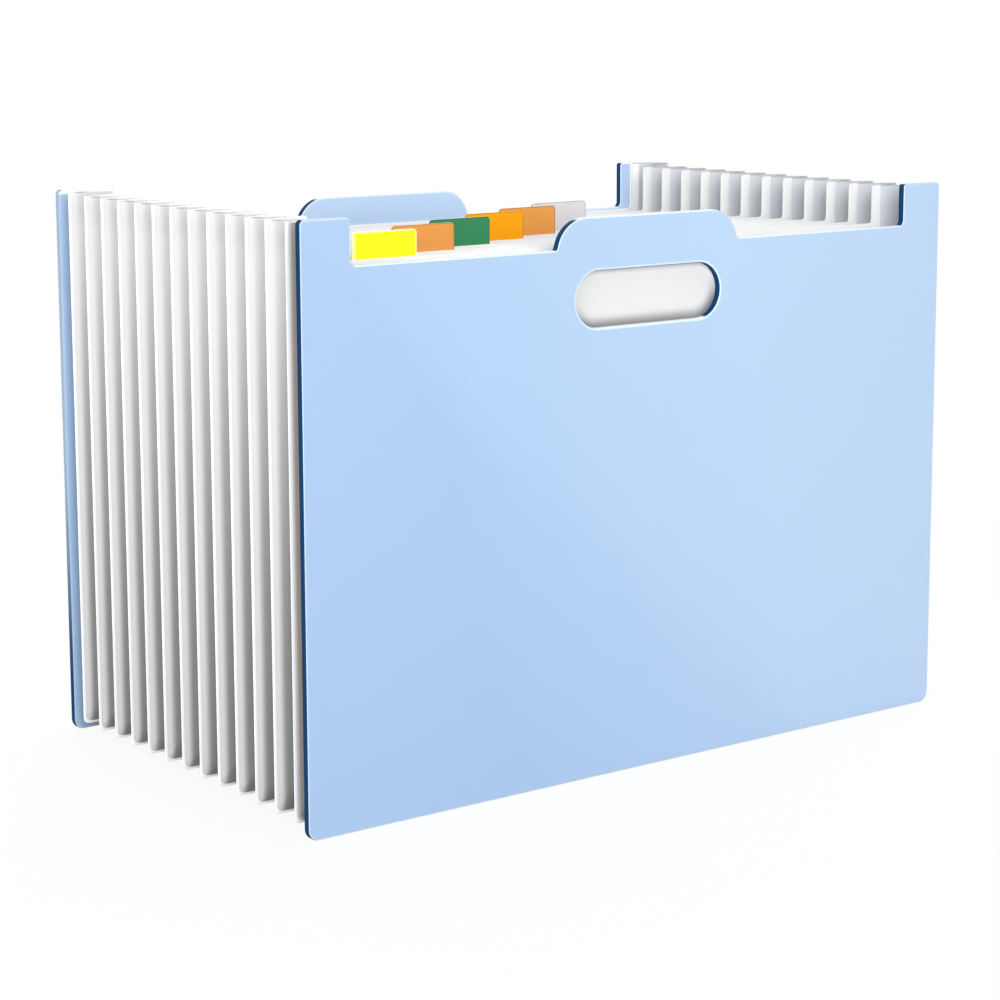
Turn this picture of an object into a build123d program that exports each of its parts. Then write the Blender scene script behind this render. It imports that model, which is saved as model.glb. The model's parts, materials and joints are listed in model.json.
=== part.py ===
from build123d import *
import math
import os

# Accordion file folder: a welded film bellows of open pockets between two stiff covers.
# Millimetres. X runs along the covers, Y from the front cover to the back one, Z is up.
# The origin is on the floor, in the middle of the folder.

# Covers
cover_width = 330.0
cover_height = 235.0
cover_thickness = 3.4
cover_corner_radius = 4.5
cover_edge_round = 0.7

# Notch in the top edge of each cover, between two shoulders: deeper and narrower at the back
front_shoulder_width = 22.0
back_shoulder_width = 26.0
front_notch_depth = 18.0
back_notch_depth = 21.5
shoulder_corner_radius = 2.0
shoulder_inner_radius = 1.4
notch_fillet = 2.4

# Grip that rises from the notch in the middle of each cover
grip_width = 94.0
grip_rise = 12.3
grip_corner_radius = 14.0
grip_root_fillet = 1.5

# Hand hole under each grip
hole_width = 75.0
hole_height = 23.0
hole_drop = 9.0

# Pockets, and the flat sheets of the bellows: dividers between pockets, linings on the covers.
# The depth is over both covers, with the bellows open.
folder_depth = 194.6
pocket_count = 13
sheet_thickness = 0.6
sheet_corner_radius = 5.0
divider_ear_width = 6.0
divider_step = 0.4
lining_ear_width = 2.2
lining_drop = 1.0
ear_corner_radius = 1.5
ear_root_fillet = 1.5
ear_corner_limit_share = 0.4

# Pleats: film that folds out from the edge of one sheet to a seam and back to the next sheet.
# The last one stands nearly as high as the back cover, the others a little lower.
film_thickness = 0.4
pleat_depth = 15.9
seam_width = 1.0
seam_thickness = 0.5
seam_corner_radius = 2.5
side_margin = 0.6
floor_clearance = 4.4
top_drop = 1.5
back_top_drop = 0.3

# Index tabs, stepped to the right from divider to divider, with their tops in line
tab_count = 6
tab_width = 29.5
tab_height = 10.4
tab_lap = 7.0
tab_thickness = 0.5
tab_corner_radius = 1.5
first_tab_offset = 11.0
tab_step = 27.8

# Levels and widths that follow from the sizes above
front_notch_level = cover_height - front_notch_depth
back_notch_level = cover_height - back_notch_depth
tab_level = front_notch_level + tab_height
bellows_top = cover_height - top_drop
back_bellows_top = cover_height - back_top_drop
seam_half_width = cover_width / 2 - side_margin
seam_bottom = floor_clearance
fold_half_width = seam_half_width - seam_width
fold_bottom = seam_bottom + seam_width
sheet_half_width = fold_half_width - pleat_depth
sheet_bottom = fold_bottom + pleat_depth

# Depths along Y
pitch = (folder_depth - 2 * cover_thickness - sheet_thickness) / pocket_count
pocket_opening = pitch - sheet_thickness
front_face = -folder_depth / 2
first_sheet = front_face + cover_thickness
back_cover_face = -front_face - cover_thickness

# A leaf of film leans, so across the folder it measures more than its own thickness
leaf_run = (pocket_opening - seam_thickness) / 2
leaf_band = film_thickness * math.hypot(pleat_depth, leaf_run) / leaf_run


def upright(sketch, depth):
    """Stand a flat sketch up in the plane at this depth, with its second axis along Z."""
    return Plane(origin=(0, depth, 0), x_dir=(1, 0, 0), z_dir=(0, -1, 0)) * sketch


def slab(sketch, front, thickness):
    """Plate from a sketch, with its front face at the depth given."""
    return extrude(upright(sketch, front + thickness), amount=thickness)


def notched_outline(half_width, bottom, top, notch_half_width, notch_level, radii):
    """Plate with round corners and a notch in its top edge; radii go up its right side and in."""
    side = [(half_width, bottom), (half_width, top)]
    notch_side = [(notch_half_width, top), (notch_half_width, notch_level)]
    right_half = side + notch_side
    left_half = [(-x, z) for x, z in reversed(right_half)]
    return make_face(FilletPolyline(*right_half, *left_half, radius=radii + radii[::-1], close=True))


def cover_outline(shoulder_width, notch_level):
    """Outline of a cover: shoulders, notch and grip."""
    half_width = cover_width / 2
    radii = [cover_corner_radius, shoulder_corner_radius, shoulder_inner_radius, notch_fillet]
    plate = notched_outline(half_width, 0, cover_height, half_width - shoulder_width, notch_level, radii)
    grip_height = grip_rise + 2 * grip_corner_radius
    grip = RectangleRounded(grip_width, grip_height, grip_corner_radius)
    outline = plate + Pos(0, notch_level + grip_rise - grip_height / 2) * grip
    notch_corners = outline.vertices().filter_by(lambda corner: math.isclose(corner.Y, notch_level))
    grip_roots = notch_corners.sort_by(lambda corner: abs(corner.X))[:2]
    return fillet(grip_roots, grip_root_fillet)


def cover(front, shoulder_width, notch_level):
    """Stiff cover with its hand hole and softly rounded edges."""
    hole_level = notch_level - hole_drop - hole_height / 2
    hole = Pos(0, hole_level) * SlotOverall(hole_width, hole_height)
    plate = slab(cover_outline(shoulder_width, notch_level) - hole, front, cover_thickness)
    faces = plate.faces().sort_by(Axis.Y)
    rims = faces[0].edges() + faces[-1].edges()
    return fillet(rims, cover_edge_round)


def sheet(front, ear_width, notch_level, top=bellows_top):
    """Flat sheet of the bellows, with an ear at either side of its notch."""
    ear_round = min(ear_corner_radius, ear_width * ear_corner_limit_share)
    radii = [sheet_corner_radius, ear_round, ear_round, ear_root_fillet]
    ear_side = sheet_half_width - ear_width
    outline = notched_outline(sheet_half_width, sheet_bottom, top, ear_side, notch_level, radii)
    return slab(outline, front, sheet_thickness)


def divider_level(number):
    """Level of a divider's notch: each is cut a little lower than the one in front."""
    return front_notch_level - (number - 1) * divider_step


def u_band(half_width, bottom, top, band, corner_radius):
    """U-shaped strip, open at the top: band is its width, measured inwards."""
    inner_half = half_width - band
    inner_bottom = bottom + band
    outside = FilletPolyline(
        (-half_width, top), (-half_width, bottom),
        (half_width, bottom), (half_width, top), radius=corner_radius)
    inside = FilletPolyline(
        (inner_half, top), (inner_half, inner_bottom),
        (-inner_half, inner_bottom), (-inner_half, top), radius=corner_radius)
    right_end = Line((half_width, top), (inner_half, top))
    left_end = Line((-inner_half, top), (-half_width, top))
    return make_face(outside + right_end + inside + left_end)


def pleat(front, top):
    """One fold of the bellows: front leaf, seam and back leaf, each a U round the pocket."""
    root = u_band(sheet_half_width, sheet_bottom, top, leaf_band, sheet_corner_radius)
    crest = u_band(fold_half_width, fold_bottom, top, leaf_band, seam_corner_radius)
    seam = u_band(seam_half_width, seam_bottom, top, seam_width + leaf_band, seam_corner_radius)
    front_crest = front + leaf_run
    back_crest = front_crest + seam_thickness
    front_leaf = loft([upright(root, front), upright(crest, front_crest)], ruled=True)
    back_leaf = loft([upright(crest, back_crest), upright(root, front + pocket_opening)], ruled=True)
    return front_leaf + slab(seam, front_crest, seam_thickness) + back_leaf


def index_tab(number, front):
    """Coloured tab that laps behind the top edge of its divider."""
    left = first_tab_offset + (number - 1) * tab_step + divider_ear_width - sheet_half_width
    foot = divider_level(number) - tab_lap
    plate = Rectangle(tab_width, tab_level - foot, align=(Align.MIN, Align.MIN))
    top_corners = plate.vertices().sort_by(Axis.Y)[-2:]
    return slab(Pos(left, foot) * fillet(top_corners, tab_corner_radius), front, tab_thickness)


def build():
    """Every piece of the folder by name."""
    back_lining = back_cover_face - sheet_thickness
    pieces = {
        "front_cover": cover(front_face, front_shoulder_width, front_notch_level),
        "front_lining": sheet(first_sheet, lining_ear_width, front_notch_level - lining_drop),
        "back_lining": sheet(back_lining, lining_ear_width, back_notch_level - lining_drop, back_bellows_top),
        "back_cover": cover(back_cover_face, back_shoulder_width, back_notch_level),
    }
    for number in range(1, pocket_count):
        divider_front = first_sheet + number * pitch
        pieces[f"divider_{number:02d}"] = sheet(divider_front, divider_ear_width, divider_level(number))
        if number <= tab_count:
            pieces[f"index_tab_{number}"] = index_tab(number, divider_front + sheet_thickness)
    for number in range(1, pocket_count + 1):
        pocket_front = first_sheet + sheet_thickness + (number - 1) * pitch
        top = back_bellows_top if number == pocket_count else bellows_top
        pieces[f"pleat_{number:02d}"] = pleat(pocket_front, top)
    return pieces


os.makedirs("parts", exist_ok=True)
for name, piece in build().items():
    export_step(piece, f"parts/{name}.step")
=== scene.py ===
import json
import math

import bpy
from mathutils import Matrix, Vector


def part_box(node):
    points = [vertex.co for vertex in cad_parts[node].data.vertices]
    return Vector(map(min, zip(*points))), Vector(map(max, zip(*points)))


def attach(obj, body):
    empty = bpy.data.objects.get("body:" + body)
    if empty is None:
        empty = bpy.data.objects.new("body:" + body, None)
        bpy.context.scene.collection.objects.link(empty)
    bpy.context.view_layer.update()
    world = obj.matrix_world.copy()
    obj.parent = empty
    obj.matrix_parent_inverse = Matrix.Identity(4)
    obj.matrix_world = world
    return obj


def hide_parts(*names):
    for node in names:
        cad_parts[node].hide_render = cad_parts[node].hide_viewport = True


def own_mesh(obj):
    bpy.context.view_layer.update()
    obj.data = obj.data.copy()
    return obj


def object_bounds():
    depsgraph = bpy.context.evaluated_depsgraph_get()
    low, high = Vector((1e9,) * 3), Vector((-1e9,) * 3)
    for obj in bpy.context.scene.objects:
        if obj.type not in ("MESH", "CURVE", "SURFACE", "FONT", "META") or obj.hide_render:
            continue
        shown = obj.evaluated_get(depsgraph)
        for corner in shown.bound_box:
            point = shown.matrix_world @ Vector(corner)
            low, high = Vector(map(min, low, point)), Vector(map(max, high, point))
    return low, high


bl_info = {
    "name": "Accordion File Folder",
    "version": (1, 0, 0),
    "blender": (4, 5, 0),
    "location": "View3D > Sidebar > File Folder",
    "description": "Finishes an accordion file folder: covers, bellows, sheets, tabs and a studio stage",
    "category": "Add Mesh",
}

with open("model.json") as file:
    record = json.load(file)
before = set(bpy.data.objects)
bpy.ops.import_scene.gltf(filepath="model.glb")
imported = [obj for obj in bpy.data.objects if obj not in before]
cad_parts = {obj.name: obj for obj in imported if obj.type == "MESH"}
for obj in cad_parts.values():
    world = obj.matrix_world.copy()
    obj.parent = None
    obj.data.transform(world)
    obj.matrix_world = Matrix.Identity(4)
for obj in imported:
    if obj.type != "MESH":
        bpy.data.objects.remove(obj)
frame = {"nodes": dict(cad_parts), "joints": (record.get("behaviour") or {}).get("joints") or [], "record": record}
nodes = frame["nodes"]
cad_low, cad_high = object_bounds()

COVERS = ["front_cover", "back_cover"]
LININGS = ["front_lining", "back_lining"]
DIVIDERS = sorted(name for name in nodes if name.startswith("divider_"))
PLEATS = sorted(name for name in nodes if name.startswith("pleat_"))
TABS = sorted(name for name in nodes if name.startswith("index_tab_"))
COLLAPSE = next(joint for joint in frame["joints"] if joint["name"] == "collapse")
BODIES = frame["record"]["behaviour"]["bodies"]
BODY_OF = {node: body for body, members in BODIES.items() for node in members}

WHITE = (1, 1, 1)
BLACK = (0, 0, 0)

# Along X, where paint for the left side of the folder passes into paint for the right side
LEFT_TO_RIGHT = (-0.02, 0.02)

# Middle of a noise that goes from 0 to 1, and the detail of the soft clouds
NOISE_MIDDLE = 0.5
CLOUD_DETAIL = 3.0


def display(red, green, blue):
    """Linear colour of an sRGB colour whose channels go from 0 to 255."""
    shares = [channel / 255 for channel in (red, green, blue)]
    return tuple(s / 12.92 if s <= 0.04045 else ((s + 0.055) / 1.055) ** 2.4 for s in shares)


def colour_setting(name, description, default):
    """Colour that a user can change."""
    return bpy.props.FloatVectorProperty(
        name=name, description=description, subtype="COLOR", size=3, min=0, max=1, default=default)


def length_setting(name, description, default):
    """Length in metres that a user can change."""
    return bpy.props.FloatProperty(
        name=name, description=description, unit="LENGTH", min=0, precision=5, default=default)


def share_setting(name, description, default, highest=1):
    """Plain number from 0 up that a user can change."""
    return bpy.props.FloatProperty(
        name=name, description=description, min=0, max=highest, default=default)


def angle_setting(name, description, degrees):
    """Angle that a user can change."""
    return bpy.props.FloatProperty(
        name=name, description=description, subtype="ANGLE", default=math.radians(degrees))


def power_setting(name, description, default):
    """Power of a lamp that a user can change."""
    return bpy.props.FloatProperty(name=name, description=description, unit="POWER", default=default)


class CoverLook(bpy.types.PropertyGroup):
    """Finish of the two stiff covers, and where their hand holes are."""

    # Painted light: the face is darker at its lower left and lighter at its upper right, with a painted sheen
    # between
    deep: colour_setting("Deep blue", "Face of the cover at its lower left", display(171, 199, 233))
    light: colour_setting("Light blue", "Face of the cover, upper right", display(190, 215, 245))
    sheen: share_setting("Sheen", "Strength of the soft slanting step between them", 0.2)
    cut_edge: colour_setting("Cut edge", "Cut edge, seen from the side", display(8, 60, 102))
    # Painted highlight: the cut edge that faces up, the rims, the ring round a hand hole and the bands under the
    # top are pale
    cut_top: colour_setting("Cut edge, upper", "Cut edge that faces up", display(246, 251, 255))
    rim: colour_setting("Rim", "Softened rim between face and cut edge", display(222, 242, 255))
    side_rim: colour_setting(
        "Side rim", "The same along the front cover's sides and top", display(197, 219, 241))
    # Painted light: the back cover's outer cut edge is painted lighter towards the top, between the two levels
    # below
    painted_light_edge: colour_setting(
        "Faded edge", "Outer cut edge of the back cover, high up", display(172, 193, 217))
    fade_foot: length_setting("Fade foot", "Level above which that edge fades", 0.02)
    fade_top: length_setting("Fade top", "Level where that edge has faded", 0.13)
    ring: length_setting("Ring", "Width of the pale ring round a hand hole", 0.0011)
    top_band: length_setting("Top band", "Pale band under a cover's top", 0.0008)
    back_left_band: length_setting(
        "Back left band", "The same on the back cover's left shoulder", 0.0022)
    hole_length: length_setting("Hole length", "Straight length of a hand hole", 0.052)
    hole_radius: length_setting("Hole radius", "Radius of the ends of a hand hole", 0.0115)
    front_hole: length_setting("Front hole", "Level of the middle of the front hand hole", 0.1965)
    back_hole: length_setting("Back hole", "Level of the middle of the back hand hole", 0.193)
    gloss: share_setting("Gloss", "Gloss of the covers", 0.2)
    roughness: share_setting("Roughness", "Roughness of the satin faces", 0.42)
    grain_size: length_setting("Grain size", "Size of the fine grain of the sheet", 0.0006)
    grain_depth: length_setting("Grain depth", "Depth of the fine grain of the sheet", 0.00001)


class FilmLook(bpy.types.PropertyGroup):
    """Finish and shape of the folded film."""

    thickness: length_setting("Film thickness", "Thickness across the film's surface", 0.0004)
    seam_width: length_setting("Seam width", "Width of the welded rim", 0.001)
    seam_thickness: length_setting("Seam thickness", "Thickness of the welded rim", 0.0005)
    seam_radius: length_setting("Seam corner", "Corner radius of the rim", 0.0025)
    root_radius: length_setting("Root corner", "Corner radius where the film leaves the sheets", 0.005)
    billow: length_setting("Billow", "How far a leaf swells from straight", 0.00035)
    ripple: length_setting("Ripple", "How far a leaf waves along its length", 0.0001)
    seam: colour_setting("Seam", "Welded rim of a fold", display(254, 254, 254))
    # Painted shade: open film, depths and insides of the folds are darker towards the foot and into a fold's
    # depth; the root is lighter
    open_top: colour_setting("Open film, top", "Open part of a leaf, top", display(236, 236, 236))
    open_foot: colour_setting("Open film, foot", "Open part of a leaf, foot", display(222, 222, 222))
    deep_top: colour_setting("Deep film, top", "Depth of a fold, top", display(234, 234, 234))
    deep_foot: colour_setting("Deep film, foot", "Depth of a fold, foot", display(148, 148, 148))
    inner_root: colour_setting("Inner root", "Inside of a leaf at the sheets", display(214, 217, 222))
    inner_deep: colour_setting("Inner depth", "Inside of a leaf at the seam", display(201, 205, 212))
    # Painted shade: a thin darker line along the film's upper edge
    lip: colour_setting("Lip", "Thin line along the film's upper edge", display(186, 184, 184))
    root: colour_setting("Root", "Film beside the sheets, outside", display(230, 230, 230))
    # Painted shade: film close to the front cover, on the left, is darker and browner
    beside_cover: colour_setting(
        "Beside cover", "Film close to the front cover, on the left", display(166, 154, 142))
    cover_shade: length_setting(
        "Cover shade", "How far from that cover's face the film is darker", 0.0107)
    top_shade: share_setting(
        "Top shade", "How much darker the film is at its top, where most light falls", 0.26)
    top_reach: length_setting("Top reach", "How far down from the top that goes", 0.017)
    last_root: length_setting(
        "Last root", "How far from the back cover's face the film's inside is white", 0.0047)
    # Painted light: the welded rim glows a little, though it is no lamp
    seam_glow: share_setting("Seam glow", "Light that the welded rim gathers", 0.1)
    gloss: share_setting("Gloss", "Gloss of the film", 0.3)
    roughness: share_setting("Roughness", "Roughness of the film", 0.5)


class SheetLook(bpy.types.PropertyGroup):
    """Finish of the dividers and linings."""

    face: colour_setting("Face", "Face of a divider", display(252, 252, 252))
    edge: colour_setting("Edge", "Cut edge along a sheet's notch", display(226, 227, 230))
    # Painted shade and light round the hand holes: the lining is greyer than the dividers, darker along a hole's
    # lower side and lighter along its upper side
    lining: colour_setting("Lining", "Lining, seen through the hand holes", display(234, 234, 234))
    shade: colour_setting(
        "Shade", "Lining along the lower side of a hand hole", display(140, 140, 140))
    shade_width: length_setting("Shade width", "Width of that shade", 0.0055)
    shine_width: length_setting(
        "Shine width", "Width of the lighter lining along the hole's upper side", 0.004)
    ear_level: length_setting(
        "Ear level", "Level above which only the ears of the sheets reach", 0.222)
    gloss: share_setting("Gloss", "Gloss of the dividers", 0.25)
    lining_gloss: share_setting("Lining gloss", "Gloss of the linings", 0.4)
    roughness: share_setting("Roughness", "Roughness of the sheets", 0.55)


class TabLook(bpy.types.PropertyGroup):
    """Colours of the index tabs, from the front one back."""

    tab_1: colour_setting("Tab 1", "Front tab", display(255, 253, 36))
    tab_2: colour_setting("Tab 2", "Second tab", display(233, 158, 80))
    tab_3: colour_setting("Tab 3", "Third tab", display(56, 137, 90))
    tab_4: colour_setting("Tab 4", "Fourth tab", display(255, 167, 4))
    tab_5: colour_setting("Tab 5", "Fifth tab", display(232, 158, 77))
    tab_6: colour_setting("Tab 6", "Rear tab", display(222, 220, 222))
    border: length_setting("Border", "Width of the line along a tab's edge", 0.0005)
    border_shade: share_setting("Border shade", "How much of the tab's colour that line has", 0.6)
    pale_border: length_setting("Pale border", "Width of the line along the front tab's edge", 0.0007)
    pale_left: share_setting("Pale left", "How much wider that line is at the left", 2.6, highest=10)
    pale_line: colour_setting("Pale line", "Line along the front tab's edge", display(255, 255, 196))
    gloss: share_setting("Gloss", "Gloss of the tabs", 0.15)
    roughness: share_setting("Roughness", "Roughness of the tabs", 0.35)


class StageLook(bpy.types.PropertyGroup):
    """Camera, lamps and floor."""

    camera_place: bpy.props.FloatVectorProperty(
        name="Camera place", description="Where the camera stands", subtype="TRANSLATION",
        default=(-0.65639, -0.89072, 0.31300))
    camera_turn: angle_setting(
        "Camera turn", "Camera's turn from straight ahead, to the right", 37.362)
    camera_tilt: angle_setting("Camera tilt", "How far the camera looks down", 9.254)
    lens: bpy.props.FloatProperty(
        name="Lens", description="Focal length in millimetres", unit="CAMERA", default=92.268)
    shift: bpy.props.FloatVectorProperty(
        name="Lens shift", description="Sideways and upward shift of the lens, in picture widths",
        size=2, default=(-0.05, -0.08))
    floor: colour_setting("Floor", "Plain floor, as it lights the folder", display(196, 196, 196))
    floor_reach: length_setting("Floor reach", "How far the floor goes each way", 12.0)
    shadow: share_setting(
        "Shadow", "How much of the floor's shadow the camera sees near the folder", 0.1)
    shadow_full: length_setting("Full shadow", "How far from the middle it stays so", 0.15)
    shadow_reach: length_setting("Shadow reach", "How far beyond that it has faded", 0.4)
    sky: share_setting("Room light", "Strength of the even light from all round", 0.3, highest=10)
    lamp: power_setting("Lamps", "Power of the soft lamps at the front and back", 24.5)
    side_lamp: power_setting("Side lamps", "Power of the soft lamps at the sides", 15.0)
    lamp_size: length_setting("Lamp size", "Side of each soft lamp", 1.3)
    lamp_distance: length_setting("Lamp distance", "Distance of each lamp from the folder", 1.9)
    lamp_turn: angle_setting("Lamp turn", "Turn of the front lamp, to the left of the folder", 20)
    left_lamp_turn: angle_setting("Left lamp turn", "The same for the left lamp", 75)
    right_lamp_turn: angle_setting("Right lamp turn", "Turn of the right lamp, to the right", 105)
    lamp_height: angle_setting("Lamp height", "Angle of the lamps above the floor", 22)


class Wire:
    """One socket of a node tree: arithmetic on it adds Math nodes, and add() adds any other node."""

    def __init__(self, tree, socket=None):
        self.tree = tree
        self.socket = socket

    def add(self, kind, settings=None, inputs=None, output=0):
        """Add a node: its settings are set first, then its inputs are filled or linked."""
        node = self.tree.nodes.new(kind)
        for name, value in (settings or {}).items():
            setattr(node, name, value)
        for key, value in (inputs or {}).items():
            if isinstance(value, Wire):
                self.tree.links.new(value.socket, node.inputs[key])
            else:
                node.inputs[key].default_value = value
        return Wire(self.tree, node.outputs[output])

    def output(self, key):
        """Another output of the same node."""
        return Wire(self.tree, self.socket.node.outputs[key])

    def math(self, operation, first, second=0.0):
        """Math node on two values."""
        return self.add("ShaderNodeMath", {"operation": operation}, {0: first, 1: second})

    def __add__(self, other):
        return self.math("ADD", self, other)

    __radd__ = __add__

    def __sub__(self, other):
        return self.math("SUBTRACT", self, other)

    def __rsub__(self, other):
        return self.math("SUBTRACT", other, self)

    def __mul__(self, other):
        return self.math("MULTIPLY", self, other)

    __rmul__ = __mul__

    def __truediv__(self, other):
        return self.math("DIVIDE", self, other)

    def __rtruediv__(self, other):
        return self.math("DIVIDE", other, self)

    def __abs__(self):
        return self.math("ABSOLUTE", self)

    def lower(self, other):
        """Smaller of two values."""
        return self.math("MINIMUM", self, other)

    def higher(self, other):
        """Larger of two values."""
        return self.math("MAXIMUM", self, other)

    def root(self):
        """Square root."""
        return self.math("SQRT", self)

    def ramp(self, low, high, curve="SMOOTHSTEP"):
        """Share from 0 to 1 as this value goes from low to high."""
        inputs = {"Value": self, "From Min": low, "From Max": high}
        return self.add("ShaderNodeMapRange", {"interpolation_type": curve, "clamp": True}, inputs)

    def mix(self, first, second):
        """Colour between two colours, by this share; 6, 7 and 2 are the node's colour sockets."""
        ends = [value if isinstance(value, Wire) else (*value, 1) for value in (first, second)]
        settings = {"data_type": "RGBA", "blend_type": "MIX"}
        return self.add("ShaderNodeMix", settings, {0: self, 6: ends[0], 7: ends[1]}, output=2)

    def parts(self, axes="XYZ"):
        """Numbers of a vector along these axes."""
        split = self.add("ShaderNodeSeparateXYZ", inputs={0: self})
        return [split.output(axis) for axis in axes]

    def noise(self, scale, detail=2.0):
        """Noise over this vector, from 0 to 1."""
        return self.add("ShaderNodeTexNoise", inputs={"Vector": self, "Scale": scale, "Detail": detail})

    def stretched(self, x, y, z):
        """This vector with each part scaled."""
        return self.add("ShaderNodeVectorMath", {"operation": "MULTIPLY"}, {0: self, 1: (x, y, z)})


class Finish:
    """A material under way: its shader, and the places and directions that its pattern reads."""

    def __init__(self, name, gloss, roughness):
        self.material = bpy.data.materials.new(name)
        self.material.use_nodes = True
        self.tree = self.material.node_tree
        self.shader = next(node for node in self.tree.nodes if node.type == "BSDF_PRINCIPLED")
        self.shader.inputs["Specular IOR Level"].default_value = gloss
        self.shader.inputs["Roughness"].default_value = roughness
        self.blank = Wire(self.tree)
        self.place = self.blank.add("ShaderNodeTexCoord", output="Object")
        self.facing = self.place.output("Normal")

    def attribute(self, name):
        """Number kept at each point of the mesh."""
        return self.blank.add("ShaderNodeAttribute", {"attribute_name": name}, output="Fac")

    def paint(self, colour):
        """Link the base colour."""
        self.tree.links.new(colour.socket, self.shader.inputs["Base Color"])

    def vary_roughness(self, change):
        """Link the roughness, with this change added to it."""
        roughness = self.shader.inputs["Roughness"]
        varied = roughness.default_value + change
        self.tree.links.new(varied.socket, roughness)

    def glow(self, colour, strength):
        """Link the emission colour."""
        self.tree.links.new(colour.socket, self.shader.inputs["Emission Color"])
        self.shader.inputs["Emission Strength"].default_value = strength

    def emboss(self, height, depth):
        """Small relief from a height of 0 to 1."""
        inputs = {"Height": height, "Distance": depth, "Strength": 1.0}
        relief = height.add("ShaderNodeBump", inputs=inputs)
        self.tree.links.new(relief.socket, self.shader.inputs["Normal"])

    def grain(self, scale, amount, depth):
        """Fine grain of a moulded sheet: it changes the roughness by this amount, and is embossed."""
        pattern = self.place.noise(scale)
        self.vary_roughness((pattern - NOISE_MIDDLE) * amount)
        self.emboss(pattern, depth)


def dress(node, material):
    """Give a node of the frame one material."""
    mesh = nodes[node].data
    mesh.materials.clear()
    mesh.materials.append(material)


def inside_hole(x, rise, look):
    """How far a place is inside a hand hole's outline, below 0 outside it; rise is from its middle."""
    past_end = (abs(x) - look.hole_length / 2).higher(0.0)
    return look.hole_radius - (past_end * past_end + rise * rise).root()


# Painted light over the covers' faces: how fast it grows along X, Y and Z, and between which sums
SWEEP = Vector((5.0, 2.5, 1.3))
SWEEP_RANGE = (-0.69, 0.31)

# A painted sheen, a soft slanting step in that painted light: how much Z counts beside X, between which sums it
# rises, and its zero
SHEEN_SLOPE = 1.14
SHEEN_RANGE = (0.073, 0.106)
SHEEN_ZERO = 0.6

# Faint clouds in it
MOTTLE_SCALE = 9.0
MOTTLE_AMOUNT = 0.05

# How squarely a place faces front or back: where the flat face begins, and where the cut edge ends
FLAT_RANGE = (0.955, 0.995)
CUT_RANGE = (0.62, 0.75)

# How squarely a cut edge faces up where its upper colour, a painted highlight, begins and is whole
UPWARD_RANGE = (0.92, 0.99)

# Distances from a cover's outer sides where the paint of its sides begins and is whole
SIDE_START = 0.0013
SIDE_WHOLE = 0.0008

# Share of a painted line's width that has its whole colour
LINE_WHOLE = 0.7

# What the grain changes in the roughness, and how much rougher the cut edge is
COVER_GRAIN = 0.12
CUT_ROUGHER = 0.4


def cover_finish(name, hole_level, left_band, faded, look):
    """Satin blue sheet: painted light sweeps across its faces, its cut edge is darker and its rims are pale, a
    painted highlight.

    With faded set, the outer cut edges are painted lighter towards the top, which is painted light, and their rims
    don't stand out."""
    finish = Finish(name, look.gloss, look.roughness)
    x, y, z = finish.place.parts()
    aside, along, upward = finish.facing.parts()
    flat = abs(along)
    # Painted light: the face grows lighter towards the upper right, with a soft slanting step of painted sheen
    sweep = (x * SWEEP.x + y * SWEEP.y + z * SWEEP.z).ramp(*SWEEP_RANGE, "LINEAR")
    sheen = (x + z * SHEEN_SLOPE).ramp(*SHEEN_RANGE) - SHEEN_ZERO
    mottle = finish.place.noise(MOTTLE_SCALE, CLOUD_DETAIL) - NOISE_MIDDLE
    face = (sweep + sheen * look.sheen + mottle * MOTTLE_AMOUNT).mix(look.deep, look.light)
    # Painted highlight: a pale band under the top, wider on the back cover's left shoulder, pale rims and a pale
    # ring round the hand hole
    left = 1 - x.ramp(*LEFT_TO_RIGHT)
    band_width = look.top_band + left * (left_band - look.top_band)
    band = 1 - (cad_high.z - z).ramp(band_width * LINE_WHOLE, band_width)
    crown = look.cut_top if faded else look.side_rim
    steepness = upward / (aside * aside + upward * upward).root()
    cut = steepness.ramp(*UPWARD_RANGE).mix(look.cut_edge, band.mix(look.cut_top, crown))
    side = abs(x).ramp(cad_high.x - SIDE_START, cad_high.x - SIDE_WHOLE)
    # Painted light: the outer cut edges of the back cover grow lighter towards the top
    if faded:
        cut = (side * z.ramp(look.fade_foot, look.fade_top)).mix(cut, look.painted_light_edge)
    ring = inside_hole(x, z - hole_level, look).ramp(-look.ring, -LINE_WHOLE * look.ring)
    flat_face = flat.ramp(*FLAT_RANGE) * (1 - ring.higher(band))
    rim = side.mix(look.rim, look.painted_light_edge if faded else look.side_rim)
    rounded = flat_face.mix(band.mix(rim, crown), face)
    cut_share = 1 - flat.ramp(*CUT_RANGE)
    finish.paint(cut_share.mix(rounded, cut))
    grain = finish.place.noise(1 / look.grain_size)
    finish.vary_roughness((grain - NOISE_MIDDLE) * COVER_GRAIN + cut_share * CUT_ROUGHER)
    finish.emboss(grain, look.grain_depth)
    return finish.material


class FOLDER_OT_finish_covers(bpy.types.Operator):
    """Give both covers their satin blue finish"""

    bl_idname = "file_folder.finish_covers"
    bl_label = "Finish covers"

    def execute(self, context):
        look = context.scene.folder_covers
        holes = (look.front_hole, look.back_hole)
        left_bands = (look.top_band, look.back_left_band)
        for node, hole_level, left_band, faded in zip(COVERS, holes, left_bands, (False, True)):
            dress(node, cover_finish(f"satin_blue_{node}", hole_level, left_band, faded, look))
        return {"FINISHED"}


# Shares of the way from the sheets out to the crest: where the painted shade of the depth grows, and where
# the open film begins
DEPTH_RANGE = (0.15, 0.6)
OPEN_RANGE = (0.755, 0.93)

# Share of the depth's painted shade at the root, and what the right side takes off that shade
ROOT_SHADE = 0.4
RIGHT_LESS_SHADE = 0.8

# What open film takes off the shade under the top, and how far under the top that shade is whole
OPEN_LESS_SHADE = 0.6
TOP_MARGIN = 0.001

# The lip, a thin line of painted shade at the film's upper end: how close to the end it begins, and its start and
# end on a leaf
LIP_RANGE = (0.93, 0.97)
LIP_START = (0.6, 0.75)
LIP_END = (0.85, 0.95)

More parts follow.
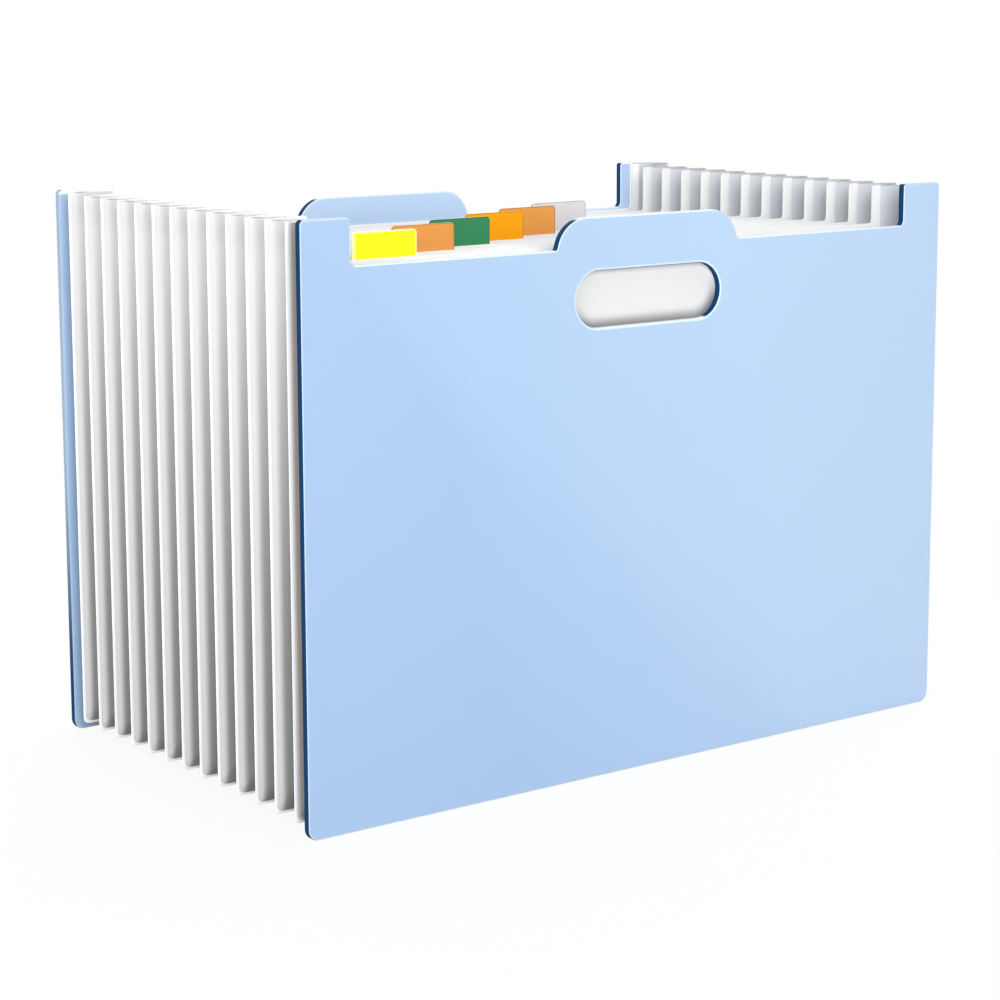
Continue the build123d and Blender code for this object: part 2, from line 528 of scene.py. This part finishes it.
# Shares of a leaf where the rim begins, and where its inside passes into the colour of the depth
RIM_RANGE = (1.0, 1.02)
INNER_RANGE = (0.0, 0.5)

# Lengths over which the painted shade beside the front cover and the painted white at the last root fade
COVER_SHADE_EDGE = 0.0008
LAST_ROOT_EDGE = 0.0006

# Fine streaks of the film, drawn out along Z
STREAK_SCALE = 900.0
STREAK_STRETCH = 0.04
STREAK_ROUGHNESS = 0.2
STREAK_DEPTH = 0.00002


def film_finish(sheet, fold_box, look):
    """White film with painted light and shade: bright glowing rims, open leaves, darker depths, darker towards the
    foot.
    """
    finish = Finish("folded_white_film", look.gloss, look.roughness)
    x, y, z = finish.place.parts()
    fold = finish.attribute("fold")
    inside = finish.attribute("inside")
    right = x.ramp(*LEFT_TO_RIGHT)
    height = z.ramp(cad_low.z, cad_high.z, "LINEAR")
    # Painted shade: the film is darker towards the foot and into the depth of a fold, least so at the root and on
    # the right side
    open_film = height.ramp(0.0, 1.0).mix(look.open_foot, look.open_top)
    deep_film = (height * height).mix(look.deep_foot, look.deep_top)
    sideways = abs(x).ramp(sheet[1].x, fold_box[1].x - look.seam_width, "LINEAR")
    openness = sideways.ramp(*OPEN_RANGE)
    depth_shade = sideways.ramp(*DEPTH_RANGE) * (1 - ROOT_SHADE) + ROOT_SHADE
    deep_film = (depth_shade * (1 - right * RIGHT_LESS_SHADE)).mix(look.root, deep_film)
    outer = openness.mix(deep_film, open_film)
    lip = finish.attribute("lip").ramp(*LIP_RANGE) * (1 - fold.ramp(*LIP_END))
    outer = (lip * fold.ramp(*LIP_START).higher(right)).mix(outer, look.lip)
    near_top = z.ramp(cad_high.z - look.top_reach, cad_high.z - TOP_MARGIN)
    outer = (near_top * look.top_shade * (1 - openness * OPEN_LESS_SHADE)).mix(outer, BLACK)
    # Painted shade beside the front cover, on the left side
    beside_cover = 1 - (y - cad_low.y).ramp(look.cover_shade - COVER_SHADE_EDGE, look.cover_shade)
    outer = (beside_cover * (1 - right)).mix(outer, look.beside_cover)
    # The welded rim: the film's own white, brightened by a painted glow
    seam = fold.ramp(*RIM_RANGE)
    outer = seam.mix(outer, look.seam)
    # Painted shade on the inside of a leaf, darker towards the seam; near the back cover on the right it is
    # painted white instead
    inner = fold.ramp(*INNER_RANGE).mix(look.inner_root, look.inner_deep)
    last_root = cad_high.y - look.last_root
    before_last = 1 - y.ramp(last_root - LAST_ROOT_EDGE, last_root)
    inner = (right * before_last).mix(look.seam, inner)
    inner = (lip * right).mix(inner, look.lip)
    finish.paint(inside.mix(outer, inner))
    # Painted light: a faint glow on the welded rims
    finish.glow(seam.mix(BLACK, WHITE), look.seam_glow)
    streaks = finish.place.stretched(1.0, 1.0, STREAK_STRETCH).noise(STREAK_SCALE)
    finish.vary_roughness((streaks - NOISE_MIDDLE) * STREAK_ROUGHNESS)
    finish.emboss(streaks, STREAK_DEPTH)
    return finish.material


# Points along the straight sides, the corners and half the floor of a U, and along a leaf
SIDE_STEPS = 24
CORNER_STEPS = 10
FLOOR_STEPS = 16
LEAF_STEPS = 10

# Share of a leaf that marks the rim, past its crest at 1
RIM_SHARE = 1.1

# Ripple along a fold: turn from one point of the U to the next, and from one fold to the next
WAVES = ((0.61, 1.7), (0.27, 2.3))

# Edges that bend more than this stay sharp
SHARP_ANGLE = math.radians(40)


def u_line(out, sheet, top, look, depth):
    """Points (x, z) of a U round the pocket, this far outside the sheets: left top, bottom, right top."""
    low, high = sheet
    half_width = high.x + out
    bottom = low.z - out
    share = min(max(out / depth, 0), 1)
    radius = look.root_radius + (look.seam_radius - look.root_radius) * share
    left = []
    for step in range(SIDE_STEPS):
        left.append((-half_width, top + (bottom + radius - top) * step / SIDE_STEPS))
    for step in range(CORNER_STEPS):
        angle = math.pi / 2 * step / CORNER_STEPS
        x = -half_width + radius - radius * math.cos(angle)
        left.append((x, bottom + radius - radius * math.sin(angle)))
    for step in range(FLOOR_STEPS):
        left.append(((radius - half_width) * (1 - step / FLOOR_STEPS), bottom))
    return left + [(0, bottom)] + [(-x, z) for x, z in reversed(left)]


def fold_profile(opening, depth, look):
    """Section of a fold: lists of (out, y, share, inside) for its outer and inner film, front to back."""
    half = opening / 2
    crest = look.seam_thickness / 2
    run = half - crest
    band = look.thickness * math.hypot(depth, run) / run
    front = []
    for step in range(LEAF_STEPS + 1):
        share = step / LEAF_STEPS
        y = -half + run * share - look.billow * math.sin(math.pi * share)
        front.append((share, y))
    leaf = front + [(share, -y) for share, y in reversed(front)]
    outer = [(depth * share, y, share, 0) for share, y in leaf]
    inner = [(depth * share - band, y, share, 1) for share, y in leaf]
    rim_root = depth + look.thickness / 2
    rim_out = depth + look.seam_width
    chamfer = crest / 2
    front_rim = [(rim_root, -crest), (rim_out - chamfer, -crest), (rim_out, chamfer - crest)]
    rim_line = front_rim + [(out, -y) for out, y in reversed(front_rim)]
    rim = [(out, y, RIM_SHARE, 0) for out, y in rim_line]
    middle = LEAF_STEPS + 1
    return outer[:middle] + rim + outer[middle:], inner


def end_faces(outer, inner, first, last):
    """Faces that close one top end of a fold: quads along both leaves and one face over the rim."""
    leaf = len(inner) // 2
    count = len(outer) + len(inner)
    rim = len(outer) - len(inner)

    def inner_at(index):
        return first + count - 1 - index

    def outer_at(index):
        return first + (index if index < leaf else index + rim)

    faces = []
    for index in list(range(leaf - 1)) + list(range(leaf, 2 * leaf - 1)):
        faces.append([outer_at(index), outer_at(index + 1), inner_at(index + 1), inner_at(index)])
    over_rim = [first + index for index in range(leaf - 1, leaf + rim + 1)]
    faces.append(over_rim + [inner_at(leaf), inner_at(leaf - 1)])
    return [face[::-1] for face in faces] if last else faces


def fold_mesh(node, sheet, look):
    """Closed mesh of one fold of film, swept round the pocket in a U."""
    low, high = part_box(node)
    middle = (high.y + low.y) / 2
    depth = high.x - look.seam_width - sheet[1].x
    outer, inner = fold_profile(high.y - low.y, depth, look)
    section = outer + inner[::-1]
    count = len(section)
    lines = [u_line(out, sheet, high.z, look, depth) for out, y, share, inside in section]
    last_station = len(lines[0]) - 1
    number = int(node[-2:])
    points = []
    values = {"fold": [], "inside": [], "lip": []}
    for station in range(last_station + 1):
        wave = sum(math.sin(station * turn + number * start) for turn, start in WAVES)
        for line, (out, y, share, inside) in zip(lines, section):
            x, z = line[station]
            ripple = look.ripple * wave * math.sin(math.pi * min(share, 1))
            points.append((x, middle + y + ripple, z))
            values["fold"].append(share)
            values["inside"].append(inside)
            values["lip"].append(1 if station in (0, last_station) else 0)
    faces = []
    for station in range(last_station):
        for point in range(count):
            here = station * count + point
            beside = station * count + (point + 1) % count
            faces.append((here, here + count, beside + count, beside))
    faces += end_faces(outer, inner, 0, False)
    faces += end_faces(outer, inner, last_station * count, True)
    mesh = bpy.data.meshes.new(node)
    mesh.from_pydata(points, [], faces)
    for name, numbers in values.items():
        mesh.attributes.new(name, "FLOAT", "POINT").data.foreach_set("value", numbers)
    mesh.validate()
    mesh.shade_smooth()
    mesh.set_sharp_from_angle(angle=SHARP_ANGLE)
    return mesh


class FOLDER_OT_fold_bellows(bpy.types.Operator):
    """Fold the film of every pocket, each fold carried by the body of its pleat"""

    bl_idname = "file_folder.fold_bellows"
    bl_label = "Fold bellows"

    def execute(self, context):
        look = context.scene.folder_film
        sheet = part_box(DIVIDERS[0])
        material = film_finish(sheet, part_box(PLEATS[0]), look)
        travel = COLLAPSE["range_m"][1] / len(PLEATS)
        for node in PLEATS:
            low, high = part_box(node)
            name = node.replace("pleat", "film_fold")
            piece = bpy.data.objects.new(name, fold_mesh(node, sheet, look))
            context.scene.collection.objects.link(piece)
            piece.data.materials.append(material)
            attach(piece, BODY_OF[node])
            1 - travel / (high.y - low.y)
            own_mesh(piece)
            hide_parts(node)
        return {"FINISHED"}


# Grain and clouds of the white sheets
SHEET_GRAIN = {"scale": 1500.0, "amount": 0.15, "depth": 0.00001}
CLOUD_SCALE = 25.0
CLOUD_RANGE = (0.3, 0.7)
CLOUD_SHADE = 0.985

# How squarely an edge faces up where the notch's colour begins and is whole
NOTCH_RANGE = (0.4, 0.9)

# Lengths over which the paint of the ears begins, on a divider and on a lining
EAR_EDGE = 0.001
LINING_EAR_EDGE = 0.01

# Lower side of a hand hole, where the lining carries painted shade: how much X and the way down count, and between
# which sums it begins
LOWER_ACROSS = 6.0
LOWER_DOWN = 80.0
LOWER_RANGE = (-0.2, 0.7)

# Upper side of a hand hole, where the lining is painted lighter: heights above its middle where it begins and is
# whole
SHINE_RISE = (0.002, 0.008)


def cloudy(finish, colour):
    """Colour with a faint darker cloud over it."""
    cloud = finish.place.noise(CLOUD_SCALE, CLOUD_DETAIL).ramp(*CLOUD_RANGE)
    return cloud.mix(colour, [channel * CLOUD_SHADE for channel in colour])


def sheet_finish(look):
    """White satin sheet with a slightly darker edge along its notch."""
    finish = Finish("white_satin_sheet", look.gloss, look.roughness)
    z = finish.place.parts("Z")[0]
    upward = finish.facing.parts("Z")[0]
    below_ears = 1 - z.ramp(look.ear_level, look.ear_level + EAR_EDGE)
    notch_edge = upward.ramp(*NOTCH_RANGE) * below_ears
    finish.paint(notch_edge.mix(cloudy(finish, look.face), look.edge))
    finish.grain(**SHEET_GRAIN)
    return finish.material


def lining_finish(name, hole_level, cover_look, look):
    """White lining, greyer than the dividers where a hand hole shows it, with painted shade along the lower side
    of the hand hole over it and painted light along the upper.
    """
    finish = Finish(name, look.lining_gloss, look.roughness)
    x, z = finish.place.parts("XZ")
    rise = z - hole_level
    inside = inside_hole(x, rise, cover_look)
    lower_side = (x * LOWER_ACROSS - rise * LOWER_DOWN).ramp(*LOWER_RANGE)
    shade = (1 - inside.ramp(0.0, look.shade_width)) * lower_side
    ear_rise = look.ear_level - hole_level
    ear = rise.ramp(ear_rise - LINING_EAR_EDGE, ear_rise)
    face = ear.mix(cloudy(finish, look.lining), look.face)
    shine = (1 - inside.ramp(0.0, look.shine_width)) * rise.ramp(*SHINE_RISE)
    finish.paint(shade.mix(shine.mix(face, WHITE), look.shade))
    finish.grain(**SHEET_GRAIN)
    return finish.material


class FOLDER_OT_finish_sheets(bpy.types.Operator):
    """Give dividers and linings their white finish"""

    bl_idname = "file_folder.finish_sheets"
    bl_label = "Finish sheets"

    def execute(self, context):
        look = context.scene.folder_sheets
        material = sheet_finish(look)
        for node in DIVIDERS:
            dress(node, material)
        cover_look = context.scene.folder_covers
        for node, hole_level in zip(LININGS, (cover_look.front_hole, cover_look.back_hole)):
            dress(node, lining_finish(f"white_{node}", hole_level, cover_look, look))
        return {"FINISHED"}


# Grain and clouds of the tabs, and the share of a border's width that has its whole colour
TAB_GRAIN = {"scale": 2500.0, "amount": 0.15, "depth": 0.00001}
TAB_CLOUD_SCALE = 120.0
TAB_CLOUD_RANGE = (0.35, 0.75)
TAB_CLOUD_AMOUNT = 0.12
TAB_CLOUD_SHADE = 0.8
BORDER_WHOLE = 0.5


def tab_finish(name, colour, line, border, left_border, box, look):
    """Coloured tab with a thin line along its edge."""
    finish = Finish(name, look.gloss, look.roughness)
    low, high = box
    x, z = finish.place.parts("XZ")
    from_left = (x - low.x) * (border / left_border)
    inset = from_left.lower(high.x - x).lower(high.z - z)
    body = inset.ramp(border * BORDER_WHOLE, border).mix(line, colour)
    cloud = finish.place.noise(TAB_CLOUD_SCALE, CLOUD_DETAIL).ramp(*TAB_CLOUD_RANGE)
    shaded = [channel * TAB_CLOUD_SHADE for channel in colour]
    finish.paint((cloud * TAB_CLOUD_AMOUNT).mix(body, shaded))
    finish.grain(**TAB_GRAIN)
    return finish.material


class FOLDER_OT_colour_tabs(bpy.types.Operator):
    """Colour the index tabs, from front to back"""

    bl_idname = "file_folder.colour_tabs"
    bl_label = "Colour tabs"

    def execute(self, context):
        look = context.scene.folder_tabs
        for number, node in enumerate(TABS, 1):
            colour = tuple(getattr(look, f"tab_{number}"))
            line = [channel * look.border_shade for channel in colour]
            border = look.border
            left_border = border
            if number == 1:
                line = look.pale_line
                border = look.pale_border
                left_border = border * look.pale_left
            name = f"index_card_{number}"
            dress(node, tab_finish(name, colour, line, border, left_border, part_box(node), look))
        return {"FINISHED"}


def seen_directly(blank):
    """1 for what the camera sees directly, in a mirror or through glass."""
    path = blank.add("ShaderNodeLightPath", output="Is Camera Ray")
    return path.higher(path.output("Is Glossy Ray")).higher(path.output("Is Transmission Ray"))


def make_floor(look):
    """Wide plain floor, white to the camera, with a soft shadow round the folder."""
    reach = look.floor_reach
    corners = [(-reach, -reach, 0), (reach, -reach, 0), (reach, reach, 0), (-reach, reach, 0)]
    mesh = bpy.data.meshes.new("studio_floor")
    mesh.from_pydata(corners, [], [(0, 1, 2, 3)])
    floor = bpy.data.objects.new("studio_floor", mesh)
    bpy.context.scene.collection.objects.link(floor)
    material = bpy.data.materials.new("plain_floor")
    material.use_nodes = True
    tree = material.node_tree
    tree.nodes.remove(next(node for node in tree.nodes if node.type == "BSDF_PRINCIPLED"))
    surface = next(node for node in tree.nodes if node.type == "OUTPUT_MATERIAL")
    blank = Wire(tree)
    place = blank.add("ShaderNodeTexCoord", output="Object")
    distance = place.add("ShaderNodeVectorMath", {"operation": "LENGTH"}, {0: place}, output="Value")
    seen = seen_directly(blank)
    matt = blank.add("ShaderNodeBsdfDiffuse", inputs={"Color": seen.mix(look.floor, WHITE)})
    glow = blank.add("ShaderNodeEmission", inputs={"Color": (*WHITE, 1), "Strength": 1.0})
    faded = distance.ramp(look.shadow_full, look.shadow_full + look.shadow_reach)
    share = seen * (1 - (1 - faded) * look.shadow)
    mixed = blank.add("ShaderNodeMixShader", inputs={0: share, 1: matt, 2: glow})
    tree.links.new(mixed.socket, surface.inputs["Surface"])
    mesh.materials.append(material)


def make_sky(look):
    """Even white room light, plain white where the camera sees it."""
    world = bpy.data.worlds.new("studio")
    bpy.context.scene.world = world
    world.use_nodes = True
    tree = world.node_tree
    ground = next(node for node in tree.nodes if node.type == "BACKGROUND")
    ground.inputs["Color"].default_value = (*WHITE, 1)
    strength = look.sky + seen_directly(Wire(tree)) * (1 - look.sky)
    tree.links.new(strength.socket, ground.inputs["Strength"])


def make_lamp(name, turn, power, look):
    """Soft square lamp at this turn to the right round the folder, facing its middle."""
    data = bpy.data.lights.new(name, "AREA")
    data.energy = power
    data.size = look.lamp_size
    lamp = bpy.data.objects.new(name, data)
    level = math.cos(look.lamp_height)
    away = Vector((math.sin(turn) * level, -math.cos(turn) * level, math.sin(look.lamp_height)))
    lamp.location = (cad_low + cad_high) / 2 + away * look.lamp_distance
    lamp.rotation_euler = (-away).to_track_quat("-Z", "Y").to_euler()
    bpy.context.scene.collection.objects.link(lamp)


def make_camera(look):
    """Camera at the photograph's viewing angle."""
    data = bpy.data.cameras.new("camera")
    data.lens = look.lens
    data.shift_x = look.shift[0]
    data.shift_y = look.shift[1]
    camera = bpy.data.objects.new("camera", data)
    camera.location = look.camera_place
    camera.rotation_euler = (math.pi / 2 - look.camera_tilt, 0, -look.camera_turn)
    bpy.context.scene.collection.objects.link(camera)
    bpy.context.scene.camera = camera


class FOLDER_OT_set_stage(bpy.types.Operator):
    """Set up the floor, the light and the camera"""

    bl_idname = "file_folder.set_stage"
    bl_label = "Set stage"

    def execute(self, context):
        look = context.scene.folder_stage
        make_floor(look)
        make_sky(look)
        make_lamp("front_lamp", -look.lamp_turn, look.lamp, look)
        make_lamp("back_lamp", math.pi - look.lamp_turn, look.lamp, look)
        make_lamp("left_lamp", -look.left_lamp_turn, look.side_lamp, look)
        make_lamp("right_lamp", look.right_lamp_turn, look.side_lamp, look)
        make_camera(look)
        context.scene.view_settings.view_transform = "Standard"
        return {"FINISHED"}


class FOLDER_PT_pieces(bpy.types.Panel):
    """Pieces of the folder"""

    bl_idname = "FOLDER_PT_pieces"
    bl_label = "File Folder"
    bl_space_type = "VIEW_3D"
    bl_region_type = "UI"
    bl_category = "File Folder"

    def draw(self, context):
        for operator in OPERATORS:
            self.layout.operator(operator.bl_idname)


LOOKS = {
    "folder_covers": CoverLook,
    "folder_film": FilmLook,
    "folder_sheets": SheetLook,
    "folder_tabs": TabLook,
    "folder_stage": StageLook,
}
OPERATORS = [
    FOLDER_OT_finish_covers,
    FOLDER_OT_fold_bellows,
    FOLDER_OT_finish_sheets,
    FOLDER_OT_colour_tabs,
    FOLDER_OT_set_stage,
]
CLASSES = [*LOOKS.values(), *OPERATORS, FOLDER_PT_pieces]


def register():
    for group in CLASSES:
        bpy.utils.register_class(group)
    for name, group in LOOKS.items():
        setattr(bpy.types.Scene, name, bpy.props.PointerProperty(type=group))


def unregister():
    for name in LOOKS:
        delattr(bpy.types.Scene, name)
    for group in reversed(CLASSES):
        bpy.utils.unregister_class(group)


def main():
    register()
    bpy.ops.file_folder.finish_covers()
    bpy.ops.file_folder.fold_bellows()
    bpy.ops.file_folder.finish_sheets()
    bpy.ops.file_folder.colour_tabs()
    bpy.ops.file_folder.set_stage()


if __name__ == "__main__":
    main()
